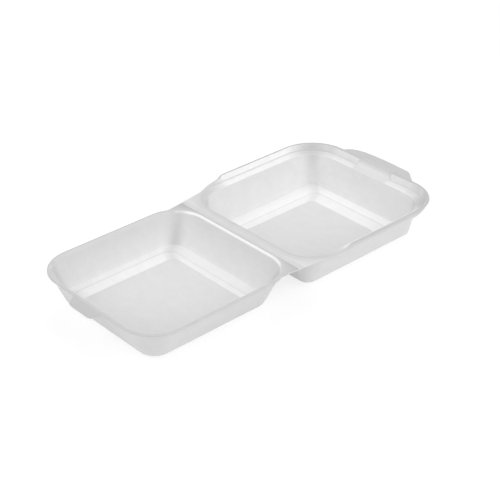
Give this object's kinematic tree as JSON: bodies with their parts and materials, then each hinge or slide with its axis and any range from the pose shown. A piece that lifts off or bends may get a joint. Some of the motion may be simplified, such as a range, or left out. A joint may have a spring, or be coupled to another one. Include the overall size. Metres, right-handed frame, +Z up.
{
  "type": "foam clamshell container",
  "caption": "Square hinged foam food container lying open: a plain-rimmed base tray with a tongue, and a step-rimmed lid tray with an opening ear.",
  "frame": {"origin": "centre of the base tray's flat underside, on the surface that the open container stands on", "axes": "+X from the base tray across the hinge to the lid tray, +Y along the hinge, +Z up out of the trays"},
  "size_m": [0.4271, 0.203, 0.0489],
  "materials": {
    "foam": "satin white expanded foam with a thin smooth skin"
  },
  "bodies": {
    "base": {"base_tray": "foam"},
    "lid": {"lid_tray": "foam"}
  },
  "joints": [
    {"name": "lid_hinge", "type": "hinge", "parent": "base", "child": "lid", "pos_m": [0.1026, 0, 0.0422], "axis": [0, -1, 0], "range_deg": [0, 180]}
  ]
}
